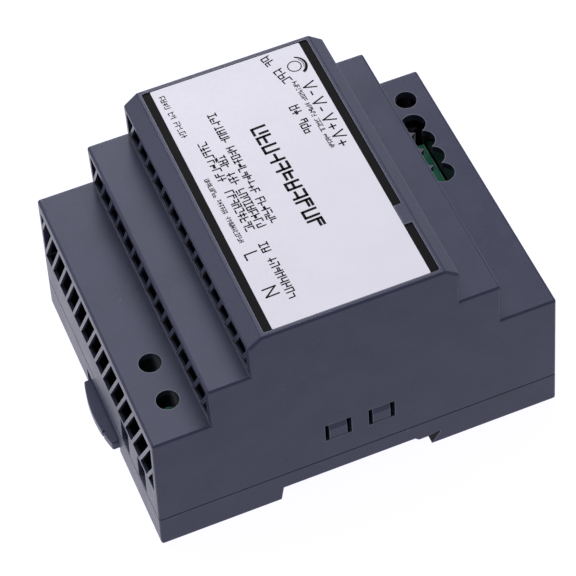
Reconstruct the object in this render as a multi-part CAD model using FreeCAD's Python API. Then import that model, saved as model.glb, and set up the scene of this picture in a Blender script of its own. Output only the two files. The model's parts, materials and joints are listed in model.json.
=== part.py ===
"""DIN rail power supply: a stepped plastic enclosure that clips onto a 35 mm top-hat rail.

Frame, in millimetres: the part lies on its back.  +Z points out of the front label, X runs along the
enclosure's height (-X is the input and latch end, +X the output end) and Y along the rail.  The origin
is in the rear plane, on the rail's centre line and at the enclosure's mid width.
"""
import FreeCAD, Part
import math
import os

V = FreeCAD.Vector

# ---- enclosure -------------------------------------------------------------------------------------
WIDTH = 71.0              # along the rail
HALF_W = WIDTH / 2.0
FOOT_X = 46.0             # half height at the rear plane
END_X = 44.85             # half height at the lower tier
TIER1_X, TIER2_X, TOP_X = 32.1, 22.8, 19.7
TIER1_Z, TIER2_Z, SHOULDER_Z, TOP_Z = 35.2, 46.6, 55.5, 58.0
SEAM_Z = 8.7              # joint between the rear cover and the housing
WALL = 1.8
EDGE_R = 0.6              # rounding of the outer edges
SEAM_BEVEL = 0.25         # bevel on both sides of the seam

# ---- circuit board ------------------------------------------------------------------------------------
BOARD_HALF_X, BOARD_HALF_Y = 42.6, 31.8
BOARD_Z, BOARD_T = 7.6, 1.6
BOARD_TOP = BOARD_Z + BOARD_T
BOARD_CLEAR_Z = BOARD_TOP + 0.4
LEAD_END_Z = 6.3          # soldered lead ends below the board
BOARD_REST_X = (-27.0, 27.0)

# ---- vent grilles ----------------------------------------------------------------------------------
VENT_PITCH = 4.6
VENT_OPEN = 3.7
VENT_LEAN = 0.55          # sideways run of a slat per millimetre of drop
VENT_HALF_SPAN = HALF_W - 1.5
END_VENT_Z = (17.6, 32.4)
TIER1_VENT_Z = (36.1, 44.9)
TIER2_VENT_Z = (47.8, 54.6)
END_SLAT_T = 1.1          # the walls are thinned from inside to this depth behind the grilles
TIER_SLAT_T = 0.7
END_VENT_PHASE = 1.2
TIER_VENT_PHASE = 22.55

# ---- terminals and openings over them ----------------------------------------------------------------
POLE_PITCH = 5.08
HOLE_X = 37.8             # driver openings in the lower tiers
SCREW_X = 36.6            # terminal screws below them
INPUT_Y = (-15.57, -25.73)
OUTPUT_MID_Y = 13.6
OUTPUT_Y = tuple(OUTPUT_MID_Y + (1.5 - i) * POLE_PITCH for i in range(4))
INPUT_HOLE_R = 2.45
OUTPUT_HOLE_R = 2.7
TRIM_X, TRIM_Y = 39.1, 28.3
TRIM_HOLE_R = 2.45
WIRE_Z = (10.4, 16.8)     # wire windows in the end walls
INPUT_WIRE_W = 4.8
OUTPUT_WIRE_W = 4.2
GUIDE_T = 0.9             # wall of the driver guide tubes over the mains poles
GUIDE_END_Z = 29.3
FIN_T = 0.8               # fins that part the wires between wall and terminals
FIN_GAP = 0.3             # from the terminal block's front to the fins
FIN_Z = (BOARD_CLEAR_Z, 17.2)

# ---- snap windows in the side walls -------------------------------------------------------------------
SNAP_X = (-4.85, 5.0)
SNAP_W = 6.0
SNAP_Z = (15.3, 20.7)
TONGUE_W = 4.0

# ---- front panel and label ----------------------------------------------------------------------------
PANEL_HALF_X, PANEL_HALF_Y = 18.8, 34.3
PANEL_GAP = 0.1           # all round, to the recess
PANEL_CORNER_R = 0.5
RECESS_FLOOR_Z = 56.75
ROOF_T = 1.4              # under the recess
PANEL_T = 1.0
LABEL_HALF_X, LABEL_HALF_Y = 17.0, 34.25
LABEL_T = 0.15
LABEL_CORNER_R = 0.3
CATCH_Y = (-20.9, -15.6)  # moulded catch over the panel's edge
CATCH_X = (17.1, 19.1)
CATCH_T = 0.75

# ---- rail slot and latch, for a 35 mm top-hat rail ----------------------------------------------------
SLOT_LEFT = 18.6
SLOT_CEILING_Z = 4.0
SEAT_Z = 3.1              # pressure ribs that the rail's flange bears on
HOOK_TIP_X, HOOK_ROOT_X = 16.45, 18.4
LATCH_HALF_W = 10.0
LATCH_NECK_HALF_W = 8.0
LATCH_Z = (0.3, 4.3)
LATCH_LIP_Z = 1.8
LATCH_GAP = 0.2
LATCH_NOSE_X = -16.0
LATCH_FOOT_X = -48.45     # crown of the pull tab
LATCH_TRAVEL = 3.0
TAB_HALF_W = 9.1
TAB_CROWN = 1.25          # the tab's outer edge is this much further out in the middle than at its ends
TAB_Z = (0.5, 2.9)
CHANNEL_ROOF_Z = 4.5
SPRING_X = (-38.0, -28.0)
SPRING_R = 1.5
SPRING_WIRE_R = 0.2
SPRING_TURNS = 9
SPRING_Z = 2.4
STOP_L = 1.6              # length of the peg that the spring and the engaged latch rest on
RELEASE_STOP_X = (-25.4, -24.0)

# ---- terminal blocks ----------------------------------------------------------------------------------
BLOCK_BACK_X = 32.4
BLOCK_FRONT_X = {-1: 40.4, 1: 41.5}
BLOCK_TOP_Z = 23.6
BLOCK_END_Y = 3.1         # from the outer poles to the block's ends
CAVITY_HALF_Y, CAVITY_Z = 2.2, (10.0, 19.0)
CAVITY_HALF_X = 2.6
HEAD_SEAT_Z = 20.0
HEAD_R, HEAD_T, HEAD_GAP = 1.65, 1.7, 0.03
SHANK_R, SHANK_HOLE_R, THREAD_CLEAR = 1.25, 1.35, 0.04
SHANK_END_Z = 15.45
CAGE_HALF_X, CAGE_HALF_Y, CAGE_Z = 2.3, 2.0, (10.1, 16.6)
CAGE_SIDE, CAGE_FLOOR, CAGE_ROOF = 0.6, 0.8, 1.2
BAR_Z = (14.5, 15.3)
BAR_BACK = 3.4            # from the screw's axis to the back of the contact bar
LEG_T = 0.6
SCREEN_X = (41.95, 42.65)  # screen between the output driver openings and the end vents
SCREEN_Y = (2.6, 32.0)
SCREEN_END_Z = BLOCK_TOP_Z + 0.3

# ---- components on the board ---------------------------------------------------------------------------
STAND_OFF = 0.1           # under every component that sits on the board
LEAD_IN = 0.5             # length of a lead or pin inside the component's body
LEAD_R = 0.4
LEG_PITCH = 2.54
CAPACITORS = {            # x, y, radius, height
    "bulk_capacitor": (-8.5, 19.8, 11.0, 35.0),
    "output_capacitor_1": (9.4, 14.4, 5.0, 25.0),
    "output_capacitor_2": (9.4, 25.6, 5.0, 25.0),
    "output_capacitor_3": (21.0, 25.6, 5.0, 25.0),
}
DISCS = {                 # x, y, radius, thickness
    "surge_varistor": (-38.5, 5.5, 5.0, 4.0),
    "inrush_thermistor": (-38.5, 17.5, 5.0, 4.0),
    "isolation_capacitor": (18.2, -4.0, 4.2, 3.4),
}
CHIPS = {                 # x, y, length, legs on each side
    "control_chip": (-17.4, 2.4, 9.6, 4),
    "optocoupler": (12.0, -27.6, 4.8, 2),
}
CHIP_HALF_W, CHIP_H, CHIP_LEG_Y = 3.2, 3.3, 3.7
FUSE_X, FUSE_Y, FUSE_R, FUSE_H, FUSE_SPREAD = -38.0, -5.0, 4.2, 8.0, 5.08
FILTER_X, FILTER_Y, FILTER_SIZE, FILTER_SPREAD = -26.8, -0.5, (8.5, 18.0, 15.0), 15.0
BRIDGE_X, BRIDGE_Y, BRIDGE_HALF_T, BRIDGE_HALF_W, BRIDGE_H, BRIDGE_PITCH = -27.5, 20.5, 1.9, 7.3, 11.6, 3.8
DRUM_X, DRUM_Y, DRUM_R, WAIST_R, DRUM_H, FLANGE_T, DRUM_SPREAD = 27.0, 15.0, 5.0, 4.5, 14.0, 2.0, 5.0
PRIMARY = {"x": -8.0, "y": -28.8, "z": 21.0, "facing": 0}
OUTPUT = {"x": 22.8, "y": -6.0, "z": 18.0, "facing": -90}
TAB_HOLE_Z = 12.6         # screw hole above the lower edge of a power package
SINK_T = 2.0
SINK_HOLE_R = 1.6
PRIMARY_SINK_X, PRIMARY_SINK_TOP = (-19.0, 3.0), 44.0
OUTPUT_SINK_Y, OUTPUT_SINK_TOP = (-19.0, 8.0), 42.0
TRAFO_X, TRAFO_Y = 1.0, -8.5
TRAFO_CORE = 14.5         # half length and half width of the ferrite core
CORE_HALF_Y = 4.5         # half thickness of the core and half width of its centre leg
CORE_OUTER_LEG, CORE_H, YOKE_T = 4.0, 26.0, 4.3
BOBBIN_Z = BOARD_TOP + STAND_OFF
BASE_HALF_X, BASE_T = 12.0, 3.0
SPOOL_HALF, SPOOL_Z = 5.6, (BOBBIN_Z + 7.6, BOBBIN_Z + 24.5)
FLANGE_HALF_X, FLANGE_HALF_Y, BOBBIN_FLANGE_T, PILLAR_Y = 9.6, 13.0, 1.0, 10.2
PIN_Y, PIN_XS = 12.7, (-7.6, -2.5, 2.5, 7.6)
WINDING_HALF_X, WINDING_HALF_Y, WINDING_R = 9.2, 9.6, 3.0
CHOKE_X, CHOKE_Y, CHOKE_Z = -26.4, -21.0, BOARD_TOP + 10.2
RING_R, RING_HOLE_R, RING_HALF_T = 8.0, 4.4, 3.5
COIL_T = 0.9              # thickness of the wound layer on the ring
COIL_Y = (2.0, 12.0)
COIL_HALF_Z = 7.4
TRIM_BODY_Z = BOARD_TOP + 4.8
TRIM_WELL_Z = BOARD_TOP + 2.0
TRIM_HALF, TRIM_WELL_R, TRIM_BASE_R, TRIM_SHAFT_R = 3.3, 2.6, 2.55, 2.0
TRIM_SHAFT_TOP = 24.0
TRIM_PINS = ((-2.5, -2.5), (2.5, -2.5), (0.0, 2.5))


def box(x0, x1, y0, y1, z0, z1):
    return Part.makeBox(x1 - x0, y1 - y0, z1 - z0, V(x0, y0, z0))


def cyl(x, y, z0, z1, r):
    return Part.makeCylinder(r, z1 - z0, V(x, y, z0))


def cyl_y(x, z, y0, y1, r):
    return Part.makeCylinder(r, y1 - y0, V(x, y0, z), V(0, 1, 0))


def cyl_x(y, z, x0, x1, r):
    return Part.makeCylinder(r, x1 - x0, V(x0, y, z), V(1, 0, 0))


def prism_xz(points, y0, y1):
    """Extrude a closed outline given in X and Z from y0 to y1."""
    wire = Part.makePolygon([V(x, y0, z) for x, z in points + points[:1]])
    return Part.Face(wire).extrude(V(0, y1 - y0, 0))


def prism_yz(points, x0, x1):
    """Extrude a closed outline given in Y and Z from x0 to x1."""
    wire = Part.makePolygon([V(x0, y, z) for y, z in points + points[:1]])
    return Part.Face(wire).extrude(V(x1 - x0, 0, 0))


def fuse(*shapes):
    return shapes[0].multiFuse(list(shapes[1:])).removeSplitter()


def rounded(shape, radius, keep):
    """Round the edges for which keep(edge) is true."""
    return shape.makeFillet(radius, [e for e in shape.Edges if keep(e)])


def bevelled(shape, size, keep):
    """Chamfer the edges for which keep(edge) is true."""
    return shape.makeChamfer(size, [e for e in shape.Edges if keep(e)])


def mid(edge):
    return edge.CenterOfMass


def upright(edge):
    return abs(edge.tangentAt(edge.FirstParameter).z) > 0.9


def end_x(z):
    """Half height of the drafted ends at height z."""
    return FOOT_X + (END_X - FOOT_X) * z / TIER1_Z


def mirror_x(points):
    """Complete an outline that is symmetric about X = 0, from its +X half listed bottom to top."""
    return points + [(-x, z) for x, z in reversed(points)]


# ---- enclosure pieces -----------------------------------------------------------------------------------
def grille(x_outer, z_range, phase):
    """Leaning vent openings through a wall whose outer face is near x_outer."""
    z0, z1 = z_range
    xs = (x_outer - WALL - 0.2, x_outer + WALL + 0.2)
    clip = box(xs[0], xs[1], -VENT_HALF_SPAN, VENT_HALF_SPAN, z0, z1)
    shift = VENT_LEAN * (z1 - z0)
    reach = int((2 * VENT_HALF_SPAN + shift) / VENT_PITCH) + 2
    slots = []
    for i in range(-reach, reach + 1):
        top = phase + i * VENT_PITCH
        if top - VENT_OPEN / 2 > VENT_HALF_SPAN - 0.6:
            continue
        if top + VENT_OPEN / 2 + shift < -VENT_HALF_SPAN + 0.6:
            continue
        outline = [(top - VENT_OPEN / 2, z1), (top + VENT_OPEN / 2, z1),
                   (top + VENT_OPEN / 2 + shift, z0), (top - VENT_OPEN / 2 + shift, z0)]
        slots.append(prism_yz(outline, xs[0], xs[1]).common(clip))
    return slots


def wire_window(side, y, width):
    """A wire entry through an end wall, flared towards the outside at its sill and sides."""
    z0, z1 = WIRE_Z
    outer = end_x(z0) + 0.5
    inner = end_x(z1) - WALL - 0.6
    hole = box(inner, outer, y - width / 2, y + width / 2, z0, z1)
    sill = prism_xz([(inner, z0), (outer, z0 - 1.3), (outer, z0)], y - width / 2, y + width / 2)
    opening = hole.fuse(sill)
    return opening if side > 0 else opening.mirror(V(0, 0, 0), V(1, 0, 0))


def thin_wall(side, x_low, x_high, z_range):
    """Tool that thins a wall from inside behind a grille, to a face from x_low (bottom) to x_high (top)."""
    z0, z1 = z_range
    half = HALF_W - WALL
    back = x_high - WALL + 1.0
    tool = prism_xz([(back, z0), (x_low, z0), (x_high, z1), (back, z1)], -half, half)
    return tool if side > 0 else tool.mirror(V(0, 0, 0), V(1, 0, 0))


def driver_guides():
    """Tubes under the mains driver openings, which keep fingers and tools off live metal."""
    return [cyl(-HOLE_X, y, GUIDE_END_Z, TIER1_Z - WALL + 0.2, INPUT_HOLE_R + GUIDE_T) for y in INPUT_Y]


def wire_fins():
    """Upright fins on the inside of the end walls, between and beside the wire windows."""
    places = [(-1, y + side * (INPUT_WIRE_W + FIN_T) / 2) for y in INPUT_Y for side in (-1, 1)]
    places += [(1, OUTPUT_MID_Y + i * POLE_PITCH) for i in range(-2, 3)]
    fins = []
    for side, y in places:
        x0, x1 = sorted((side * (BLOCK_FRONT_X[side] + FIN_GAP), side * (end_x(FIN_Z[1]) - WALL + 0.5)))
        fins.append(box(x0, x1, y - FIN_T / 2, y + FIN_T / 2, FIN_Z[0], FIN_Z[1]))
    return fins


def board_ribs():
    """Ribs up the side walls that hold the board down on its posts."""
    ribs = []
    for x in BOARD_REST_X:
        for side in (-1, 1):
            y0, y1 = sorted((side * (BOARD_HALF_Y - 1.5), side * (HALF_W - WALL + 0.2)))
            ribs.append(box(x - 0.7, x + 0.7, y0, y1, BOARD_TOP, TIER2_Z - WALL))
    return ribs


def housing():
    outline = mirror_x([(end_x(SEAM_Z), SEAM_Z), (END_X, TIER1_Z), (TIER1_X, TIER1_Z), (TIER1_X, TIER2_Z),
                        (TIER2_X, TIER2_Z), (TIER2_X, SHOULDER_Z), (TOP_X, TOP_Z)])
    body = prism_xz(outline, -HALF_W, HALF_W)

    def outer_edge(e):
        m = mid(e)
        at_seam = abs(m.z - SEAM_Z) < 0.01
        inner_corner = e.Length > WIDTH - 0.1 and any(
            abs(abs(m.x) - x) < 0.01 and abs(m.z - z) < 0.01
            for x, z in ((TIER1_X, TIER1_Z), (TIER2_X, TIER2_Z)))
        return not at_seam and not inner_corner

    body = rounded(body, EDGE_R, outer_edge)
    body = bevelled(body, SEAM_BEVEL, lambda e: abs(mid(e).z - SEAM_Z) < 0.01)
    roof_z = RECESS_FLOOR_Z - ROOF_T
    inside = mirror_x([(end_x(SEAM_Z) - WALL + 0.03, SEAM_Z - 1.0), (END_X - WALL, TIER1_Z - WALL),
                       (TIER1_X - WALL, TIER1_Z - WALL), (TIER1_X - WALL, TIER2_Z - WALL),
                       (TIER2_X - WALL, TIER2_Z - WALL), (TIER2_X - WALL, roof_z - 1.2),
                       (TOP_X - 0.6, roof_z)])
    body = body.cut(prism_xz(inside, -HALF_W + WALL, HALF_W - WALL))

    recess_x, recess_y = PANEL_HALF_X + PANEL_GAP, PANEL_HALF_Y + PANEL_GAP
    recess = rounded(box(-recess_x, recess_x, -recess_y, recess_y, RECESS_FLOOR_Z, TOP_Z + 1),
                     PANEL_CORNER_R, upright)
    tools = [recess]
    end_low, end_high = [end_x(z) - END_SLAT_T for z in END_VENT_Z]
    for side in (-1, 1):
        tools.append(thin_wall(side, end_low, end_high, END_VENT_Z))
        tools.append(thin_wall(side, TIER1_X - TIER_SLAT_T, TIER1_X - TIER_SLAT_T, TIER1_VENT_Z))
        tools.append(thin_wall(side, TIER2_X - TIER_SLAT_T, TIER2_X - TIER_SLAT_T, TIER2_VENT_Z))
        tools += grille(side * END_X, END_VENT_Z, END_VENT_PHASE)
        tools += grille(side * TIER1_X, TIER1_VENT_Z, TIER_VENT_PHASE)
        tools += grille(side * TIER2_X, TIER2_VENT_Z, TIER_VENT_PHASE)
        for x in SNAP_X:
            y0, y1 = sorted((side * (HALF_W + 1), side * (HALF_W - WALL - 1)))
            tools.append(box(x - SNAP_W / 2, x + SNAP_W / 2, y0, y1, SNAP_Z[0], SNAP_Z[1]))
    hole_z = (TIER1_Z - WALL - 1, TIER1_Z + 1)
    tools += [cyl(-HOLE_X, y, GUIDE_END_Z - 1, hole_z[1], INPUT_HOLE_R) for y in INPUT_Y]
    tools += [cyl(HOLE_X, y, hole_z[0], hole_z[1], OUTPUT_HOLE_R) for y in OUTPUT_Y]
    tools.append(cyl(TRIM_X, TRIM_Y, hole_z[0], hole_z[1], TRIM_HOLE_R))
    tools += [wire_window(-1, y, INPUT_WIRE_W) for y in INPUT_Y]
    tools += [wire_window(1, y, OUTPUT_WIRE_W) for y in OUTPUT_Y]
    screen = box(SCREEN_X[0], SCREEN_X[1], SCREEN_Y[0], SCREEN_Y[1], SCREEN_END_Z, TIER1_Z - WALL + 0.2)
    body = fuse(body, screen, *(driver_guides() + wire_fins() + board_ribs()))
    catch = box(CATCH_X[0], CATCH_X[1], CATCH_Y[0], CATCH_Y[1], TOP_Z - CATCH_T, TOP_Z)
    return fuse(body.cut(tools), catch)


def snap_tongue(x, side):
    """A sprung arm rising from the rear cover, with a barb that fills the housing's window."""
    inner = HALF_W - WALL - 1.6
    outer = HALF_W - WALL - 0.1
    root_z = SLOT_CEILING_Z + 0.5
    arm_top = SNAP_Z[1] - 0.05
    arm = box(x - TONGUE_W / 2, x + TONGUE_W / 2, inner, outer, root_z, arm_top)
    root = box(x - TONGUE_W / 2, x + TONGUE_W / 2, inner, HALF_W - WALL + 0.2, root_z, SEAM_Z - 1.0)
    barb_z = SNAP_Z[0] + 0.03
    face_y, ramp_y = HALF_W - 0.12, HALF_W - 0.7
    wire = Part.makePolygon([V(x - TONGUE_W / 2, y, z) for y, z in
                             [(outer - 0.1, barb_z), (face_y, barb_z), (face_y, arm_top - 2.2),
                              (ramp_y, arm_top), (outer - 0.1, arm_top), (outer - 0.1, barb_z)]])
    barb = Part.Face(wire).extrude(V(TONGUE_W, 0, 0))
    arm = fuse(arm, root, barb)
    return arm if side > 0 else arm.mirror(V(0, 0, 0), V(0, 1, 0))


def rear_cover():
    """Tray that closes the back: rail slot with its fixed hook, latch channel, posts and snap tongues."""
    floor_t = 1.8
    ceiling_t = 1.4
    outer = [(-FOOT_X, 0), (-SLOT_LEFT, 0), (-SLOT_LEFT + 0.7, SLOT_CEILING_Z), (12.5, SLOT_CEILING_Z),
             (13.4, SEAT_Z), (15.6, SEAT_Z), (HOOK_ROOT_X - 0.1, SLOT_CEILING_Z - 0.1), (HOOK_ROOT_X, SEAT_Z),
             (HOOK_TIP_X, 0), (FOOT_X, 0), (end_x(SEAM_Z), SEAM_Z), (-end_x(SEAM_Z), SEAM_Z)]
    body = prism_xz(outer, -HALF_W, HALF_W)

    def outer_edge(e):
        m = mid(e)
        corner = abs(abs(m.y) - HALF_W) < 0.01 and abs(m.x) > FOOT_X - 0.5 and e.Length < SEAM_Z + 0.5
        foot = abs(abs(m.x) - FOOT_X) < 0.01 and abs(m.z) < 0.01
        return corner or foot

    body = rounded(body, EDGE_R, outer_edge)
    body = bevelled(body, SEAM_BEVEL, lambda e: abs(mid(e).z - SEAM_Z) < 0.01)
    slot_top = SLOT_CEILING_Z + ceiling_t
    inner_x = FOOT_X - WALL - 0.2
    inside = [(-inner_x, floor_t), (-SLOT_LEFT - 2.0, floor_t), (-SLOT_LEFT - 1.2, slot_top),
              (HOOK_ROOT_X + 1.6, slot_top), (HOOK_ROOT_X + 2.2, floor_t), (inner_x, floor_t),
              (end_x(SEAM_Z) - WALL, SEAM_Z + 1), (-end_x(SEAM_Z) + WALL, SEAM_Z + 1)]
    body = body.cut(prism_xz(inside, -HALF_W + WALL, HALF_W - WALL))

    channel_half = LATCH_HALF_W + LATCH_GAP
    roof_top = CHANNEL_ROOF_Z + 1.2
    jacket = box(-inner_x - 0.4, -SLOT_LEFT - 0.2, -channel_half - 1.4, channel_half + 1.4, 0, roof_top)
    posts = []
    for x in BOARD_REST_X:
        for side in (-1, 1):
            y0, y1 = sorted((side * (BOARD_HALF_Y - 3.0), side * (HALF_W - WALL + 0.2)))
            posts.append(box(x - 1.2, x + 1.2, y0, y1, 1.0, BOARD_Z))
    posts += [cyl(x, y, 1.0, BOARD_Z, 2.0) for x in (-40.0, 40.0) for y in (-6.0, 28.0)]
    tongues = [snap_tongue(x, side) for x in SNAP_X for side in (-1, 1)]
    body = fuse(body, jacket, *(posts + tongues))

    neck_half = LATCH_NECK_HALF_W + LATCH_GAP
    lip_top = LATCH_LIP_Z - LATCH_GAP
    end = -SLOT_LEFT + 0.9
    start = -FOOT_X - 1.0
    channel = fuse(box(start, end, -channel_half, channel_half, lip_top, CHANNEL_ROOF_Z),
                   box(start, end, -neck_half, neck_half, -1.0, lip_top + 0.5),
                   box(start, -inner_x + 0.3, -channel_half, channel_half, -1.0, CHANNEL_ROOF_Z + 1.0))
    body = body.cut(channel)
    spring_stop = box(SPRING_X[0] - STOP_L, SPRING_X[0], -2.0, 2.0, LATCH_Z[0] + 0.3, CHANNEL_ROOF_Z + 0.3)
    release_stop = box(RELEASE_STOP_X[0], RELEASE_STOP_X[1], -2.0, 2.0, LATCH_LIP_Z, CHANNEL_ROOF_Z + 0.3)
    return fuse(body, spring_stop, release_stop)


def front_panel():
    """Plate with a step in its edge under the housing's catch."""
    plate = box(-PANEL_HALF_X, PANEL_HALF_X, -PANEL_HALF_Y, PANEL_HALF_Y, RECESS_FLOOR_Z,
                RECESS_FLOOR_Z + PANEL_T)
    step = box(CATCH_X[0] - 0.05, PANEL_HALF_X + 1, CATCH_Y[0] - PANEL_GAP, CATCH_Y[1] + PANEL_GAP,
               TOP_Z - CATCH_T - 0.02, TOP_Z)
    return rounded(plate, PANEL_CORNER_R, upright).cut(step)


def label():
    z = RECESS_FLOOR_Z + PANEL_T
    sheet = box(-LABEL_HALF_X, LABEL_HALF_X, -LABEL_HALF_Y, LABEL_HALF_Y, z, z + LABEL_T)
    return rounded(sheet, LABEL_CORNER_R, upright)


# ---- latch -------------------------------------------------------------------------------------------
def latch():
    """Sliding foot: a T-section slide, a nose under the rail's flange and a pull tab outside the end."""
    z0, z1 = LATCH_Z
    root = -FOOT_X + 1.6
    wide = box(root, -SLOT_LEFT - 1.0, -LATCH_HALF_W, LATCH_HALF_W, LATCH_LIP_Z, z1)
    neck = box(root, -SLOT_LEFT - 1.0, -LATCH_NECK_HALF_W, LATCH_NECK_HALF_W, z0, LATCH_LIP_Z)
    corner_x = LATCH_FOOT_X + TAB_CROWN
    low, high = TAB_Z
    tab_edge = Part.Arc(V(corner_x, -TAB_HALF_W, low), V(LATCH_FOOT_X, 0, low),
                        V(corner_x, TAB_HALF_W, low)).toShape()
    tab_sides = Part.makePolygon([V(corner_x, TAB_HALF_W, low), V(root + 0.5, TAB_HALF_W, low),
                                  V(root + 0.5, -TAB_HALF_W, low), V(corner_x, -TAB_HALF_W, low)])
    tab = Part.Face(Part.Wire([tab_edge] + tab_sides.Edges)).extrude(V(0, 0, high - low))
    tab = rounded(tab, 0.5, lambda e: upright(e) and abs(mid(e).x - corner_x) < 0.01)
    tab = rounded(tab, 0.4, lambda e: mid(e).x < corner_x + 0.2 and mid(e).z > high - 0.01)
    notch = box(LATCH_FOOT_X - 1, LATCH_FOOT_X + 0.9, -5.5, -4.9, low - 1, high + 1)
    nose = prism_xz([(-SLOT_LEFT - 1.5, z0), (LATCH_NOSE_X - 1.2, z0), (LATCH_NOSE_X, z0 + 1.1),
                     (LATCH_NOSE_X, 1.75), (-SLOT_LEFT + 0.6, 2.0), (-SLOT_LEFT - 1.5, 2.0)],
                    -LATCH_NECK_HALF_W, LATCH_NECK_HALF_W)
    body = fuse(wide, neck, tab.cut(notch), nose)
    spring_pocket = box(SPRING_X[0] - STOP_L - 0.1, SPRING_X[1], -2.2, 2.2, z0 - 1, z1 + 1)
    stop_pocket = box(RELEASE_STOP_X[0] - 0.8, RELEASE_STOP_X[1] + LATCH_TRAVEL + 0.1, -2.2, 2.2,
                      z0 - 1, z1 + 1)
    return body.cut([spring_pocket, stop_pocket])


def latch_spring():
    """Compression coil between the rear cover's stop and the latch."""
    x0, x1 = SPRING_X[0] + SPRING_WIRE_R, SPRING_X[1] - SPRING_WIRE_R
    pitch = (x1 - x0) / SPRING_TURNS
    helix = Part.makeHelix(pitch, x1 - x0, SPRING_R - SPRING_WIRE_R)
    section = Part.Wire(Part.makeCircle(SPRING_WIRE_R, V(SPRING_R - SPRING_WIRE_R, 0, 0), V(0, 1, 0)))
    coil = Part.Wire(helix).makePipeShell([section], True, True)
    coil.rotate(V(0, 0, 0), V(0, 1, 0), 90)
    coil.translate(V(x0, 0, SPRING_Z))
    return coil


# ---- terminals ---------------------------------------------------------------------------------------
def place_pole(shape, side, y):
    """Move a piece drawn for the +X end, about Y = 0, to its own pole."""
    if side < 0:
        shape = shape.mirror(V(0, 0, 0), V(1, 0, 0))
    shape.translate(V(0, y, 0))
    return shape


def terminal_block(side, poles):
    x0, x1 = BLOCK_BACK_X, BLOCK_FRONT_X[side]
    y0, y1 = min(poles) - BLOCK_END_Y, max(poles) + BLOCK_END_Y
    body = box(x0, x1, y0, y1, BOARD_TOP, BLOCK_TOP_Z)
    body = rounded(body, 0.3, lambda e: mid(e).z > BLOCK_TOP_Z - 0.01)
    if side < 0:
        body = body.mirror(V(0, 0, 0), V(1, 0, 0))
    tools = []
    for y in poles:
        s = SCREW_X
        cavity = box(s - CAVITY_HALF_X, s + CAVITY_HALF_X, -CAVITY_HALF_Y, CAVITY_HALF_Y,
                     CAVITY_Z[0], CAVITY_Z[1])
        entry = box(s, x1 + 1, -1.8, 1.8, CAGE_Z[0] + CAGE_FLOOR, BAR_Z[0])
        bar_slot = box(s - BAR_BACK - 0.1, s, -1.3, 1.3, BAR_Z[0] - 0.05, BAR_Z[1] + 0.05)
        leg_slot = box(s - BAR_BACK - 0.1, s - BAR_BACK + LEG_T + 0.1, -0.6, 0.6, BOARD_TOP - 1, BAR_Z[1])
        well = cyl(s, 0, HEAD_SEAT_Z, BLOCK_TOP_Z + 1, HEAD_R + 0.1)
        shank_way = cyl(s, 0, CAVITY_Z[1] - 1, HEAD_SEAT_Z + 1, SHANK_HOLE_R)
        for tool in (cavity, entry, bar_slot, leg_slot, well, shank_way):
            tools.append(place_pole(tool, side, y))
    return body.cut(tools)


def terminal_screw(side, y):
    low = HEAD_SEAT_Z + HEAD_GAP
    high = low + HEAD_T
    head = rounded(cyl(SCREW_X, 0, low, high, HEAD_R), 0.3, lambda e: mid(e).z > high - 0.01)
    slot = box(SCREW_X - 3, SCREW_X + 3, -0.3, 0.3, high - 0.9, high + 1)
    shank = cyl(SCREW_X, 0, SHANK_END_Z, low, SHANK_R)
    return place_pole(fuse(head, shank).cut(slot), side, y)


def terminal_clamp(side, y):
    """Rising cage: a ring around the contact bar, with the screw's thread in its roof."""
    s = SCREW_X
    ring = box(s - CAGE_HALF_X, s + CAGE_HALF_X, -CAGE_HALF_Y, CAGE_HALF_Y, CAGE_Z[0], CAGE_Z[1])
    window = box(s - 5, s + 5, -CAGE_HALF_Y + CAGE_SIDE, CAGE_HALF_Y - CAGE_SIDE,
                 CAGE_Z[0] + CAGE_FLOOR, CAGE_Z[1] - CAGE_ROOF)
    thread = cyl(s, 0, CAGE_Z[1] - CAGE_ROOF - 1, CAGE_Z[1] + 1, SHANK_R + THREAD_CLEAR)
    return place_pole(ring.cut([window, thread]), side, y)


def contact(side, y):
    """Contact bar inside the cage with a leg soldered into the board."""
    s = SCREW_X
    bar = box(s - BAR_BACK, s + 2.0, -1.15, 1.15, BAR_Z[0], BAR_Z[1])
    leg = box(s - BAR_BACK, s - BAR_BACK + LEG_T, -0.5, 0.5, LEAD_END_Z, BAR_Z[0] + 0.2)
    return place_pole(fuse(bar, leg), side, y)


# ---- board and components ----------------------------------------------------------------------------
def two_leads(x, y, spread, along, top):
    """Two round leads from a component down through the board."""
    dx, dy = (spread / 2, 0) if along == "x" else (0, spread / 2)
    return [cyl(x - dx, y - dy, LEAD_END_Z, top, LEAD_R), cyl(x + dx, y + dy, LEAD_END_Z, top, LEAD_R)]


def seam_edge(edge):
    """A closed circular edge."""
    return len(edge.Vertexes) == 1


def capacitor(x, y, r, height):
    """Radial electrolytic capacitor with a crimp groove near its base and a recessed top."""
    z0 = BOARD_TOP + STAND_OFF
    body = rounded(cyl(x, y, z0, z0 + height, r), 0.6, seam_edge)
    groove = Part.makeTorus(r + 0.35, 0.7, V(x, y, z0 + 2.6))
    top_recess = cyl(x, y, z0 + height - 0.3, z0 + height + 1, r - 1.2)
    return fuse(body.cut([groove, top_recess]), *two_leads(x, y, r * 0.9, "x", z0 + LEAD_IN))


def disc(x, y, r, thick):
    """Coated disc standing on two leads, its flat faces towards X."""
    z = BOARD_TOP + 2.2 + r
    body = rounded(cyl_x(y, z, x - thick / 2, x + thick / 2, r), thick * 0.35, seam_edge)
    return fuse(body, *two_leads(x, y, r * 1.1, "y", z - r * 0.5))


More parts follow.
